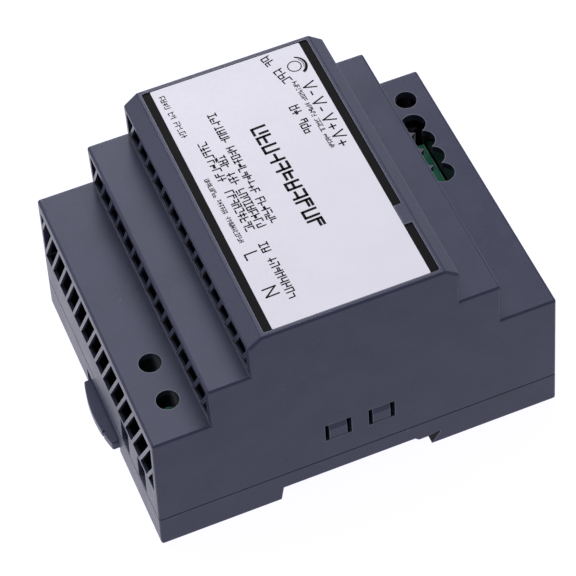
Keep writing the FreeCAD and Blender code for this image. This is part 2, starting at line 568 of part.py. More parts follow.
def power_package(x, y, z, facing):
    """Three-leg package with its tab against a heat sink; facing is the leg side's direction."""
    body = box(-5.0, 5.0, 1.3, 4.5, 0, 9.0)
    tab = box(-5.0, 5.0, 0.0, 1.3, 0, 15.4).cut(cyl_y(0, TAB_HOLE_Z, -1, 3, 1.8))
    legs = [box(i * LEG_PITCH - 0.4, i * LEG_PITCH + 0.4, 2.2, 2.8, LEAD_END_Z - z, 1.0) for i in (-1, 0, 1)]
    shape = fuse(body, tab, *legs)
    shape.rotate(V(0, 0, 0), V(0, 0, 1), facing)
    shape.translate(V(x, y, z))
    return shape


def heatsink_screw(x, y, z, facing):
    """M3 screw through the package's tab into the heat sink, pointing against the facing direction."""
    head = cyl_y(0, TAB_HOLE_Z, 1.3, 3.1, 2.7)
    shank = cyl_y(0, TAB_HOLE_Z, -SINK_T + 0.1, 1.4, 1.5)
    slot = box(-3, 3, 2.3, 4, TAB_HOLE_Z - 0.3, TAB_HOLE_Z + 0.3)
    shape = fuse(head, shank).cut(slot)
    shape.rotate(V(0, 0, 0), V(0, 0, 1), facing)
    shape.translate(V(x, y, z))
    return shape


def primary_heatsink():
    """Plate with fins and two solder pegs beside the side wall."""
    (x0, x1), y, top = PRIMARY_SINK_X, PRIMARY["y"], PRIMARY_SINK_TOP
    low = BOARD_TOP + STAND_OFF
    plate = box(x0, x1, y - SINK_T, y, low, top)
    fins = [box(x - 0.5, x + 0.5, y - SINK_T - 0.9, y - SINK_T + 0.2, BOARD_TOP + 3, top)
            for x in (x0 + 2, x0 + 6, x1 - 6, x1 - 2)]
    pegs = [box(x - 0.8, x + 0.8, y - 1.6, y - 0.6, LEAD_END_Z, low + LEAD_IN) for x in (x0 + 1.5, x1 - 1.5)]
    hole = cyl_y(PRIMARY["x"], PRIMARY["z"] + TAB_HOLE_Z, y - 6, y + 4, SINK_HOLE_R)
    return fuse(plate, *(fins + pegs)).cut(hole)


def output_heatsink():
    """Plate with two solder pegs between the transformer and the output poles."""
    x, (y0, y1), low = OUTPUT["x"], OUTPUT_SINK_Y, BOARD_TOP + STAND_OFF
    plate = box(x - SINK_T, x, y0, y1, low, OUTPUT_SINK_TOP)
    pegs = [box(x - 1.5, x - 0.5, y - 0.8, y + 0.8, LEAD_END_Z, low + LEAD_IN) for y in (y0 + 1.5, y1 - 1.5)]
    hole = cyl_x(OUTPUT["y"], OUTPUT["z"] + TAB_HOLE_Z, x - 4, x + 4, SINK_HOLE_R)
    return fuse(plate, *pegs).cut(hole)


def about_trafo(half_x, half_y, z0, z1):
    """A box centred on the transformer."""
    return box(TRAFO_X - half_x, TRAFO_X + half_x, TRAFO_Y - half_y, TRAFO_Y + half_y, z0, z1)


def transformer_bobbin():
    """Base with pins, two pillars, and the spool between its flanges."""
    z0 = BOBBIN_Z
    low, high = SPOOL_Z
    base = about_trafo(BASE_HALF_X, TRAFO_CORE, z0, z0 + BASE_T)
    spool = about_trafo(SPOOL_HALF, SPOOL_HALF, low, high)
    flanges = [about_trafo(FLANGE_HALF_X, FLANGE_HALF_Y, z, z + BOBBIN_FLANGE_T)
               for z in (low, high - BOBBIN_FLANGE_T)]
    pillar_z = (z0 + BASE_T - 0.5, low + 0.4)
    pillars = about_trafo(FLANGE_HALF_X, FLANGE_HALF_Y, *pillar_z)
    pillars = pillars.cut(about_trafo(FLANGE_HALF_X + 1, PILLAR_Y, *pillar_z))
    bore = about_trafo(SPOOL_HALF - 1, SPOOL_HALF - 1, z0 + BASE_T, high + 1)
    pins = [cyl(TRAFO_X + x, TRAFO_Y + y, LEAD_END_Z, z0 + LEAD_IN, LEAD_R)
            for y in (-PIN_Y, PIN_Y) for x in PIN_XS]
    return fuse(base, spool, *(flanges + pillars.Solids + pins)).cut(bore)


def transformer_core():
    """Ferrite EE core: centre leg in the bobbin, two outer legs and the yokes above and below."""
    z0 = BOBBIN_Z + BASE_T + 0.1
    x0, x1 = TRAFO_X - TRAFO_CORE, TRAFO_X + TRAFO_CORE
    outer = about_trafo(TRAFO_CORE, CORE_HALF_Y, z0, z0 + CORE_H)
    window_z = (z0 + YOKE_T, z0 + CORE_H - YOKE_T)
    y0, y1 = TRAFO_Y - CORE_HALF_Y - 1, TRAFO_Y + CORE_HALF_Y + 1
    left = box(x0 + CORE_OUTER_LEG, TRAFO_X - CORE_HALF_Y, y0, y1, *window_z)
    right = box(TRAFO_X + CORE_HALF_Y, x1 - CORE_OUTER_LEG, y0, y1, *window_z)
    return outer.cut([left, right])


def transformer_winding():
    """Taped winding that fills the space between the bobbin's flanges."""
    gap = 0.05
    low, high = SPOOL_Z[0] + BOBBIN_FLANGE_T + gap, SPOOL_Z[1] - BOBBIN_FLANGE_T - gap
    outer = rounded(about_trafo(WINDING_HALF_X, WINDING_HALF_Y, low, high), WINDING_R, upright)
    return outer.cut(about_trafo(SPOOL_HALF + gap, SPOOL_HALF + gap, low - 1, high + 1))


def choke_core():
    """Ferrite ring standing on edge, its axis along X."""
    ring = cyl_x(CHOKE_Y, CHOKE_Z, CHOKE_X - RING_HALF_T, CHOKE_X + RING_HALF_T, RING_R)
    hole = cyl_x(CHOKE_Y, CHOKE_Z, CHOKE_X - RING_HALF_T - 1, CHOKE_X + RING_HALF_T + 1, RING_HOLE_R)
    return ring.cut(hole)


def choke_winding(side):
    """One of two coils on the ring core: a sleeve over part of the ring, with its lead ends."""
    gap = 0.05
    outer_t, inner_t = RING_HALF_T + COIL_T, RING_HALF_T + gap
    shell = cyl_x(CHOKE_Y, CHOKE_Z, CHOKE_X - outer_t, CHOKE_X + outer_t, RING_R + COIL_T)
    hollow = cyl_x(CHOKE_Y, CHOKE_Z, CHOKE_X - inner_t, CHOKE_X + inner_t, RING_R + gap)
    bore = cyl_x(CHOKE_Y, CHOKE_Z, CHOKE_X - outer_t - 1, CHOKE_X + outer_t + 1, RING_HOLE_R - COIL_T - 0.2)
    tube = cyl_x(CHOKE_Y, CHOKE_Z, CHOKE_X - inner_t - gap, CHOKE_X + inner_t + gap, RING_HOLE_R - gap)
    sleeve = shell.cut([hollow, bore]).fuse(tube.cut(bore))
    y0, y1 = sorted((CHOKE_Y + side * COIL_Y[0], CHOKE_Y + side * COIL_Y[1]))
    half = sleeve.common(box(CHOKE_X - outer_t - 1, CHOKE_X + outer_t + 1, y0, y1,
                             CHOKE_Z - COIL_HALF_Z, CHOKE_Z + COIL_HALF_Z))
    lead_x = RING_HALF_T + COIL_T / 2 + 0.03
    leads = [cyl(CHOKE_X + x, CHOKE_Y + side * 5.4, LEAD_END_Z, CHOKE_Z - 5.0, LEAD_R)
             for x in (-lead_x, lead_x)]
    return fuse(half, *leads)


def fuse_link():
    z0 = BOARD_TOP + STAND_OFF
    body = rounded(cyl(FUSE_X, FUSE_Y, z0, z0 + FUSE_H, FUSE_R), 0.5, seam_edge)
    return fuse(body, *two_leads(FUSE_X, FUSE_Y, FUSE_SPREAD, "y", z0 + LEAD_IN))


def filter_capacitor():
    """Boxed film capacitor across the mains."""
    z0 = BOARD_TOP + STAND_OFF
    size_x, size_y, height = FILTER_SIZE
    body = box(FILTER_X - size_x / 2, FILTER_X + size_x / 2, FILTER_Y - size_y / 2, FILTER_Y + size_y / 2,
               z0, z0 + height)
    body = rounded(body, 0.5, lambda e: mid(e).z > z0 + 0.01)
    return fuse(body, *two_leads(FILTER_X, FILTER_Y, FILTER_SPREAD, "y", z0 + LEAD_IN))


def bridge_rectifier():
    """Flat package standing on four legs in line."""
    z0 = BOARD_TOP + 2.0
    body = box(BRIDGE_X - BRIDGE_HALF_T, BRIDGE_X + BRIDGE_HALF_T, BRIDGE_Y - BRIDGE_HALF_W,
               BRIDGE_Y + BRIDGE_HALF_W, z0, z0 + BRIDGE_H)
    body = rounded(body, 0.4, lambda e: mid(e).z > z0 + 0.01)
    legs = [cyl(BRIDGE_X, BRIDGE_Y + i * BRIDGE_PITCH, LEAD_END_Z, z0 + LEAD_IN, LEAD_R)
            for i in (-1.5, -0.5, 0.5, 1.5)]
    return fuse(body, *legs)


def dual_inline(x, y, length, legs_per_side):
    """Chip with two rows of legs: each leg leaves the side and bends down through the board."""
    z0 = BOARD_TOP + 0.5
    shoulder = (z0 + 1.5, z0 + 1.8)
    body = box(x - length / 2, x + length / 2, y - CHIP_HALF_W, y + CHIP_HALF_W, z0, z0 + CHIP_H)
    body = rounded(body, 0.3, lambda e: mid(e).z > z0 + CHIP_H - 0.1)
    legs = []
    for i in range(legs_per_side):
        leg_x = x + (i - (legs_per_side - 1) / 2) * LEG_PITCH
        for side in (-1, 1):
            y0, y1 = sorted((y + side * CHIP_LEG_Y, y + side * (CHIP_LEG_Y + 0.2)))
            legs.append(box(leg_x - 0.3, leg_x + 0.3, y0, y1, LEAD_END_Z, shoulder[1]))
            y0, y1 = sorted((y + side * (CHIP_HALF_W - 0.1), y + side * (CHIP_LEG_Y + 0.2)))
            legs.append(box(leg_x - 0.5, leg_x + 0.5, y0, y1, *shoulder))
    return fuse(body, *legs)


def output_inductor():
    """Drum choke: ferrite drum with a wound waist."""
    z0 = BOARD_TOP + STAND_OFF
    top = z0 + DRUM_H
    drum = fuse(cyl(DRUM_X, DRUM_Y, z0, z0 + FLANGE_T, DRUM_R),
                cyl(DRUM_X, DRUM_Y, z0 + FLANGE_T, top - FLANGE_T, WAIST_R),
                cyl(DRUM_X, DRUM_Y, top - FLANGE_T, top, DRUM_R))
    return fuse(drum, *two_leads(DRUM_X, DRUM_Y, DRUM_SPREAD, "y", z0 + LEAD_IN))


def trimmer_body():
    z0 = BOARD_TOP + STAND_OFF
    body = box(TRIM_X - TRIM_HALF, TRIM_X + TRIM_HALF, TRIM_Y - TRIM_HALF, TRIM_Y + TRIM_HALF,
               z0, TRIM_BODY_Z)
    body = rounded(body, 0.4, lambda e: mid(e).z > z0 + 0.1)
    well = cyl(TRIM_X, TRIM_Y, TRIM_WELL_Z, TRIM_BODY_Z + 1, TRIM_WELL_R)
    pins = [cyl(TRIM_X + x, TRIM_Y + y, LEAD_END_Z, z0 + LEAD_IN, 0.3) for x, y in TRIM_PINS]
    return fuse(body.cut(well), *pins)


def trimmer_rotor():
    """Disc in the body's well with a slotted shaft up to the driver opening."""
    base = cyl(TRIM_X, TRIM_Y, TRIM_WELL_Z + 0.05, TRIM_BODY_Z, TRIM_BASE_R)
    shaft = cyl(TRIM_X, TRIM_Y, TRIM_BODY_Z, TRIM_SHAFT_TOP, TRIM_SHAFT_R)
    shaft = rounded(shaft, 0.3, lambda e: mid(e).z > TRIM_SHAFT_TOP - 0.01)
    slot = box(TRIM_X - 3, TRIM_X + 3, TRIM_Y - 0.35, TRIM_Y + 0.35, TRIM_SHAFT_TOP - 1.2, TRIM_SHAFT_TOP + 1)
    return fuse(base, shaft).cut(slot)


def circuit_board(components):
    """Board with a round hole around every lead that passes through it."""
    board = box(-BOARD_HALF_X, BOARD_HALF_X, -BOARD_HALF_Y, BOARD_HALF_Y, BOARD_Z, BOARD_TOP)
    board = rounded(board, 1.0, upright)
    layer = box(-FOOT_X, FOOT_X, -HALF_W, HALF_W, BOARD_Z + 0.4, BOARD_Z + 0.6)
    widest_lead, clearance = 3.0, 0.15
    lead_holes = []
    for solid in [s for shape in components for s in shape.Solids]:
        for piece in solid.common(layer).Solids:
            b = piece.BoundBox
            if b.DiagonalLength < widest_lead:
                r = max(b.XLength, b.YLength) / 2 + clearance
                lead_holes.append(cyl(b.Center.x, b.Center.y, BOARD_Z - 1, BOARD_TOP + 1, r))
    return board.cut(lead_holes)


def build():
    nodes = {
        "housing": housing(),
        "rear_cover": rear_cover(),
        "front_panel": front_panel(),
        "label": label(),
        "rail_latch": latch(),
        "latch_spring": latch_spring(),
        "input_terminal_block": terminal_block(-1, INPUT_Y),
        "output_terminal_block": terminal_block(1, OUTPUT_Y),
        "fuse": fuse_link(),
        "mains_filter_capacitor": filter_capacitor(),
        "filter_choke_core": choke_core(),
        "filter_choke_winding_1": choke_winding(-1),
        "filter_choke_winding_2": choke_winding(1),
        "bridge_rectifier": bridge_rectifier(),
        "primary_heatsink": primary_heatsink(),
        "switching_transistor": power_package(**PRIMARY),
        "transformer_bobbin": transformer_bobbin(),
        "transformer_core": transformer_core(),
        "transformer_winding": transformer_winding(),
        "output_heatsink": output_heatsink(),
        "output_rectifier": power_package(**OUTPUT),
        "output_inductor": output_inductor(),
        "trimmer_body": trimmer_body(),
        "trimmer_rotor": trimmer_rotor(),
    }
    nodes.update({name: capacitor(*size) for name, size in CAPACITORS.items()})
    nodes.update({name: disc(*size) for name, size in DISCS.items()})
    nodes.update({name: dual_inline(*size) for name, size in CHIPS.items()})
    nodes["heatsink_screws"] = Part.makeCompound([heatsink_screw(**PRIMARY), heatsink_screw(**OUTPUT)])
    for name, side, poles in (("input", -1, INPUT_Y), ("output", 1, OUTPUT_Y)):
        nodes[name + "_contacts"] = Part.makeCompound([contact(side, y) for y in poles])
        for i, y in enumerate(poles, 1):
            nodes["%s_screw_%d" % (name, i)] = terminal_screw(side, y)
            nodes["%s_clamp_%d" % (name, i)] = terminal_clamp(side, y)
    nodes["circuit_board"] = circuit_board(nodes.values())
    return nodes


os.makedirs("parts", exist_ok=True)
for node, shape in build().items():
    shape.exportStep("parts/%s.step" % node)
    FreeCAD.Console.PrintMessage("%s: %d solid(s), valid %s, %.1f mm3\n"
                                 % (node, len(shape.Solids), shape.isValid(), shape.Volume))
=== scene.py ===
"""Looks of the DIN rail power supply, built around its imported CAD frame.

Everything is in metres in the part's own frame: the unit lies on its back, +Z points out of the front
label, X runs along its height (-X is the input and latch end) and Y along the rail.
"""
import bpy
import bmesh
import math
import random
from mathutils import Matrix, Vector
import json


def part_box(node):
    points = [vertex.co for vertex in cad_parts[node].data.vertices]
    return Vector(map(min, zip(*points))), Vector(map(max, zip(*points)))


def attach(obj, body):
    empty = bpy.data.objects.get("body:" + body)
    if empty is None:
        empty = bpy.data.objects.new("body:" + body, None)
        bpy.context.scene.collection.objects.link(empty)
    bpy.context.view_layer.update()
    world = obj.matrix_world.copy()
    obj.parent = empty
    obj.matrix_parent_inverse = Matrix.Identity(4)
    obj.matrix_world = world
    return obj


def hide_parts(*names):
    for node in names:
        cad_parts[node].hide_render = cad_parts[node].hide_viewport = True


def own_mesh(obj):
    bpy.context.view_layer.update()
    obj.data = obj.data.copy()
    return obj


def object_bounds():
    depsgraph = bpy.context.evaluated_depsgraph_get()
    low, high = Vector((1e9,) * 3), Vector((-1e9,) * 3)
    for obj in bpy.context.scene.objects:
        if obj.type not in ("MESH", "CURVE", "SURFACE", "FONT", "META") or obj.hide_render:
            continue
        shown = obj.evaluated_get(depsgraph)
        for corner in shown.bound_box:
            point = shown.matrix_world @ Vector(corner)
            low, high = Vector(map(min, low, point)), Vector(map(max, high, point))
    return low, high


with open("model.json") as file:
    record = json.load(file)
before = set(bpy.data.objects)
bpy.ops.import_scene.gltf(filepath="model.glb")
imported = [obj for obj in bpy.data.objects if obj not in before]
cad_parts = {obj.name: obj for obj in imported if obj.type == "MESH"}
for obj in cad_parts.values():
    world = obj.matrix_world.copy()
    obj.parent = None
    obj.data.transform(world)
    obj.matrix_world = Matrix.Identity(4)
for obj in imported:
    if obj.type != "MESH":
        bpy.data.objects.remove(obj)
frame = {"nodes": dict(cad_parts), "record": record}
cad_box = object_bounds()
NODES = frame["nodes"]
MM = 0.001


# ---- camera, floor and light ---------------------------------------------------------------------------
# The photograph's viewing angle, from a pinhole camera fitted to the corners of the enclosure.
CAMERA_PLACE = Vector((-0.11236, -0.32423, 0.46411))
CAMERA_RIGHT = Vector((0.92334, -0.38101, -0.04770))
CAMERA_UP = Vector((0.32869, 0.72005, 0.61114))
CAMERA_LENS = 162.3       # focal length in mm on a sensor 36 mm wide
AIM = (0, 0, 0.03)        # the middle of the unit, which the lights point at
FLOOR_HALF = 1.5


def camera():
    data = bpy.data.cameras.new("camera")
    data.sensor_width = 36.0
    data.lens = CAMERA_LENS
    data.clip_start, data.clip_end = 0.01, 10.0
    cam = bpy.data.objects.new("camera", data)
    turn = Matrix((CAMERA_RIGHT, CAMERA_UP, CAMERA_RIGHT.cross(CAMERA_UP))).transposed().to_4x4()
    cam.matrix_world = Matrix.Translation(CAMERA_PLACE) @ turn
    bpy.context.scene.collection.objects.link(cam)
    bpy.context.scene.camera = cam


def area_light(name, location, size, power):
    data = bpy.data.lights.new(name, "AREA")
    data.shape = "DISK"
    data.size = size
    data.energy = power
    lamp = bpy.data.objects.new(name, data)
    lamp.location = location
    lamp.rotation_mode = "QUATERNION"
    lamp.rotation_quaternion = (Vector(AIM) - Vector(location)).to_track_quat("-Z", "Y")
    bpy.context.scene.collection.objects.link(lamp)


def studio():
    """A glowing pale table, a dim white room, a soft box overhead and two small lights for the edges."""
    scene = bpy.context.scene
    scene.view_settings.view_transform = "Standard"
    world = bpy.data.worlds.new("studio")
    world.use_nodes = True
    background = world.node_tree.nodes["Background"]
    background.inputs["Color"].default_value = (1.0, 1.0, 1.0, 1)
    background.inputs["Strength"].default_value = 0.40
    scene.world = world
    area_light("softbox", (0.0, 0.24, 0.75), 0.6, 4.2)
    area_light("edge_light", (0.13, 0.64, 0.49), 0.25, 2.2)
    area_light("side_light", (-0.56, 0.45, 0.34), 0.3, 0.7)

    mesh = bpy.data.meshes.new("floor")
    corners = [(x * FLOOR_HALF, y * FLOOR_HALF, 0) for x, y in ((-1, -1), (1, -1), (1, 1), (-1, 1))]
    mesh.from_pydata(corners, [], [(0, 1, 2, 3)])
    floor = bpy.data.objects.new("floor", mesh)
    floor.location.z = cad_box[0].z
    bpy.context.scene.collection.objects.link(floor)
    paint = bpy.data.materials.new("floor_sheet")
    paint.use_nodes = True
    shader = paint.node_tree.nodes["Principled BSDF"]
    shader.inputs["Base Color"].default_value = (0.08, 0.08, 0.08, 1)
    shader.inputs["Roughness"].default_value = 0.9
    shader.inputs["Specular IOR Level"].default_value = 0.0
    shader.inputs["Emission Color"].default_value = (1.0, 0.99, 1.12, 1)
    shader.inputs["Emission Strength"].default_value = 0.97
    mesh.materials.append(paint)


# ---- materials -----------------------------------------------------------------------------------------
GRAIN = 0.35 * MM         # size of the moulded texture
GRAIN_RELIEF = 0.02 * MM


class Surface:
    """A Principled material with helpers that add procedural detail to it."""

    def __init__(self, name, metallic=0.0, specular=0.5):
        self.material = bpy.data.materials.new(name)
        self.material.use_nodes = True
        self.tree = self.material.node_tree
        self.shader = self.tree.nodes["Principled BSDF"]
        self.set("Metallic", metallic)
        self.set("Specular IOR Level", specular)
        self.coordinates = self.node("ShaderNodeTexCoord").outputs["Object"]

    def set(self, socket, value):
        self.shader.inputs[socket].default_value = value

    def node(self, kind, **values):
        made = self.tree.nodes.new(kind)
        for key, value in values.items():
            if key in made.inputs:
                made.inputs[key].default_value = value
            else:
                setattr(made, key, value)
        return made

    def link(self, a, b):
        self.tree.links.new(a, b)

    def noise(self, size, detail=2.0, roughness=0.5, stretch=(1, 1, 1)):
        """Noise whose features are about size metres across; its value is 0 to 1."""
        mapping = self.node("ShaderNodeMapping")
        mapping.inputs["Scale"].default_value = [s / size for s in stretch]
        self.link(self.coordinates, mapping.inputs["Vector"])
        noise = self.node("ShaderNodeTexNoise", Scale=1.0, Detail=detail, Roughness=roughness)
        self.link(mapping.outputs["Vector"], noise.inputs["Vector"])
        return noise.outputs["Fac"]

    def specks(self, size, share):
        """Sparse round specks, 1 inside and 0 outside; share is the part of the cells that hold one."""
        mapping = self.node("ShaderNodeMapping")
        mapping.inputs["Scale"].default_value = [1 / size] * 3
        self.link(self.coordinates, mapping.inputs["Vector"])
        cells = self.node("ShaderNodeTexVoronoi", Scale=1.0)
        self.link(mapping.outputs["Vector"], cells.inputs["Vector"])
        near = self.math("LESS_THAN", cells.outputs["Distance"], 0.11)
        split = self.node("ShaderNodeSeparateColor")
        self.link(cells.outputs["Color"], split.inputs["Color"])
        chosen = self.math("LESS_THAN", split.outputs["Red"], share)
        return self.math("MULTIPLY", near, chosen)

    def math(self, operation, a, b):
        made = self.node("ShaderNodeMath", operation=operation)
        for socket, value in zip(made.inputs, (a, b)):
            if isinstance(value, (int, float)):
                socket.default_value = value
            else:
                self.link(value, socket)
        return made.outputs["Value"]

    def ramp(self, value, low, high):
        """Spread a value that lies mostly between 0.3 and 0.7 over low to high."""
        made = self.node("ShaderNodeMapRange")
        made.inputs["From Min"].default_value = 0.3
        made.inputs["From Max"].default_value = 0.7
        made.inputs["To Min"].default_value = low
        made.inputs["To Max"].default_value = high
        self.link(value, made.inputs["Value"])
        return made.outputs["Result"]

    def mix(self, factor, a, b):
        made = self.node("ShaderNodeMix", data_type="RGBA")
        self.link(factor, made.inputs["Factor"])
        for socket, value in ((made.inputs["A"], a), (made.inputs["B"], b)):
            if isinstance(value, tuple):
                socket.default_value = (*value, 1)
            else:
                self.link(value, socket)
        return made.outputs["Result"]

    def bump(self, height, distance, strength=1.0):
        made = self.node("ShaderNodeBump", Strength=strength, Distance=distance)
        self.link(height, made.inputs["Height"])
        previous = self.shader.inputs["Normal"].links
        if previous:
            self.link(previous[0].from_socket, made.inputs["Normal"])
        self.link(made.outputs["Normal"], self.shader.inputs["Normal"])

    def edges(self, radius):
        """1 within radius of a sharp edge or a small rounding, fading to 0 on flat faces."""
        bevel = self.node("ShaderNodeBevel", samples=6, Radius=radius)
        geometry = self.node("ShaderNodeNewGeometry")
        dot = self.node("ShaderNodeVectorMath", operation="DOT_PRODUCT")
        self.link(bevel.outputs["Normal"], dot.inputs[0])
        self.link(geometry.outputs["True Normal"], dot.inputs[1])
        made = self.node("ShaderNodeMapRange")
        made.inputs["From Min"].default_value = 0.995
        made.inputs["From Max"].default_value = 0.80
        made.inputs["To Min"].default_value = 0.0
        made.inputs["To Max"].default_value = 1.0
        self.link(dot.outputs["Value"], made.inputs["Value"])
        return made.outputs["Result"]

    def colour(self, socket):
        self.link(socket, self.shader.inputs["Base Color"])

    def roughness(self, socket):
        self.link(socket, self.shader.inputs["Roughness"])


def shade(colour, factor):
    return tuple(c * factor for c in colour)


def moulded(name, colour, rough, grain=GRAIN, specular=0.5):
    """Injection moulded plastic: spark-eroded grain and soft clouding."""
    s = Surface(name, specular=specular)
    clouds = s.noise(9 * MM, detail=4.0, roughness=0.6)
    tint = s.mix(s.ramp(clouds, 0.0, 1.0), shade(colour, 0.86), shade(colour, 1.14))
    s.colour(tint)
    fine = s.noise(grain, detail=2.0)
    s.roughness(s.math("ADD", s.ramp(clouds, rough - 0.03, rough + 0.03), s.ramp(fine, -0.04, 0.04)))
    s.bump(fine, GRAIN_RELIEF)
    return s.material


def enclosure_plastic(name, colour, rough, specular, dust, rooms):
    """Moulded plastic, with a painted highlight along its edges and painted shade in the inside and rail
    slot.

    Each of the rooms is (half x, half y, lowest z, highest z).
    """
    s = Surface(name, specular=specular)
    s.set("Specular Tint", (0.87, 0.86, 1.0, 1))
    clouds = s.noise(9 * MM, detail=4.0, roughness=0.6)
    tint = s.mix(s.ramp(clouds, 0.0, 1.0), shade(colour, 0.9), shade(colour, 1.1))
    tint = s.mix(s.math("MULTIPLY", s.specks(1.8 * MM, dust), 0.13), tint, (0.5, 0.5, 0.5))
    # painted highlight: the base colour is lightened along edges and small roundings, where light catches
    # them
    tint = s.mix(s.math("MULTIPLY", s.edges(0.32 * MM), 0.65), tint, (0.28, 0.28, 0.33))
    split = s.node("ShaderNodeSeparateXYZ")
    s.link(s.coordinates, split.inputs["Vector"])
    x = s.math("ABSOLUTE", split.outputs["X"], 0)
    y = s.math("ABSOLUTE", split.outputs["Y"], 0)
    # painted shade: inside the rooms the colour is darkened almost to black, where little light reaches
    inside = 0.0
    for half_x, half_y, low, high in rooms:
        room = s.math("MULTIPLY", s.math("LESS_THAN", x, half_x), s.math("LESS_THAN", y, half_y))
        level = s.math("MULTIPLY", s.math("GREATER_THAN", split.outputs["Z"], low),
                       s.math("LESS_THAN", split.outputs["Z"], high))
        inside = s.math("MAXIMUM", s.math("MULTIPLY", room, level), inside)
    s.colour(s.mix(inside, tint, shade(colour, 0.06)))
    fine = s.noise(GRAIN, detail=2.0)
    s.roughness(s.math("ADD", s.ramp(clouds, rough - 0.03, rough + 0.03), s.ramp(fine, -0.04, 0.04)))
    s.bump(fine, GRAIN_RELIEF)
    return s.material


def glossy(name, colour, rough, specular=0.5):
    """Polished plastic with faint handling haze and hairline scuffs."""
    s = Surface(name, specular=specular)
    haze = s.noise(6 * MM, detail=3.0)
    s.colour(s.mix(haze, shade(colour, 0.9), shade(colour, 1.1)))
    scuffs = s.noise(1.2 * MM, detail=2.0, stretch=(8, 1, 1))
    s.roughness(s.math("ADD", s.ramp(haze, rough, rough + 0.08), s.ramp(scuffs, 0.0, 0.05)))
    s.bump(s.noise(2.5 * MM), 0.004 * MM)
    return s.material


def metal(name, colour, rough):
    """Plated or drawn metal with fine, even grain."""
    s = Surface(name, metallic=1.0)
    grain = s.noise(0.5 * MM, detail=3.0)
    s.colour(s.mix(grain, shade(colour, 0.8), shade(colour, 1.1)))
    s.roughness(s.ramp(grain, rough - 0.08, rough + 0.1))
    s.bump(grain, 0.006 * MM)
    return s.material


def label_film(name, colour):
    """Printed polyester film: satin, slightly uneven and faintly soiled white."""
    s = Surface(name, specular=0.35)
    soil = s.noise(14 * MM, detail=5.0, roughness=0.6)
    s.colour(s.mix(s.ramp(soil, 0.0, 1.0), shade(colour, 0.975), shade(colour, 1.02)))
    fine = s.noise(0.6 * MM, detail=2.0)
    s.roughness(s.ramp(fine, 0.42, 0.52))
    s.bump(s.noise(7 * MM), 0.05 * MM, strength=0.4)
    return s.material


def laminate(name):
    """The dark green circuit board, with the weave of its glass cloth."""
    s = Surface(name)
    weave = s.noise(0.7 * MM, detail=1.0, stretch=(1, 6, 1))
    s.colour(s.mix(weave, (0.012, 0.04, 0.02), (0.02, 0.06, 0.03)))
    s.roughness(s.ramp(weave, 0.35, 0.5))
    s.bump(weave, 0.01 * MM)
    return s.material


SLATE = (0.033, 0.036, 0.066)
INNER_HALF_Y = 33.72 * MM # just past the side walls' inner faces
# Spaces where the plastic is painted dark as painted shade: inside the housing and in the rail slot.
ROOMS = (
    (44.6 * MM, INNER_HALF_Y, 3.0 * MM, 33.42 * MM),    # inside the lower part
    (31.42 * MM, INNER_HALF_Y, 33.0 * MM, 44.92 * MM),  # inside the middle part
    (22.12 * MM, INNER_HALF_Y, 44.0 * MM, 55.5 * MM),   # inside the upper part
    (18.5 * MM, 35.3 * MM, -1.0 * MM, 4.05 * MM),       # the rail slot
)
MATERIALS = {
    "body_plastic": enclosure_plastic("body_plastic", SLATE, 0.31, 0.18, 0.012, ROOMS),
    "latch_plastic": moulded("latch_plastic", shade(SLATE, 1.5), 0.33, specular=0.18),
    "panel_black": glossy("panel_black", (0.005, 0.005, 0.006), 0.40, specular=0.03),
    "label_white": label_film("label_white", (0.52, 0.51, 0.59)),
    "terminal_green": moulded("terminal_green", (0.012, 0.20, 0.11), 0.4),
    "screw_steel": metal("screw_steel", (0.55, 0.54, 0.50), 0.35),
    "clamp_steel": metal("clamp_steel", (0.50, 0.49, 0.46), 0.4),
    "spring_steel": metal("spring_steel", (0.45, 0.45, 0.46), 0.3),
    "contact_tin": metal("contact_tin", (0.62, 0.58, 0.48), 0.35),
    "board_laminate": laminate("board_laminate"),
    "component_black": moulded("component_black", (0.010, 0.010, 0.011), 0.45),
    "capacitor_sleeve": glossy("capacitor_sleeve", (0.006, 0.007, 0.010), 0.3),
    "film_grey": moulded("film_grey", (0.05, 0.05, 0.055), 0.4),
    "disc_blue": glossy("disc_blue", (0.012, 0.03, 0.09), 0.3),
    "disc_green": glossy("disc_green", (0.015, 0.04, 0.022), 0.3),
    "heatsink_black": moulded("heatsink_black", (0.014, 0.014, 0.015), 0.5, grain=0.2 * MM),
    "ferrite": moulded("ferrite", (0.018, 0.018, 0.020), 0.5),
    "winding_tape": glossy("winding_tape", (0.05, 0.035, 0.02), 0.35),
    "copper_wire": metal("copper_wire", (0.16, 0.06, 0.025), 0.35),
}


def dress_nodes():
    for part in frame["record"]["subparts"]:
        piece = NODES[part["node"]]
        piece.data.materials.clear()
        piece.data.materials.append(MATERIALS[part["material_slot"]])


# ---- print on the label ----------------------------------------------------------------------------------
LABEL_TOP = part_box("label")[1].z
SMALL, PLAIN, LETTER = 0.17, 0.29, 0.34     # widths of the printed strokes in mm
LEAN = 2.0                # the print lies this many degrees askew
GLYPHS = {
    "L": [((0, 1), (0, 0)), ((0, 0), (0.55, 0))],
    "N": [((0, 0), (0, 1)), ((0, 1), (0.72, 0)), ((0.72, 0), (0.72, 1))],
    "V": [((0, 1), (0.36, 0)), ((0.36, 0), (0.72, 1))],
    "+": [((0, 0.38), (0.56, 0.38)), ((0.28, 0.10), (0.28, 0.66))],
    "-": [((0, 0.34), (0.36, 0.34))],
}


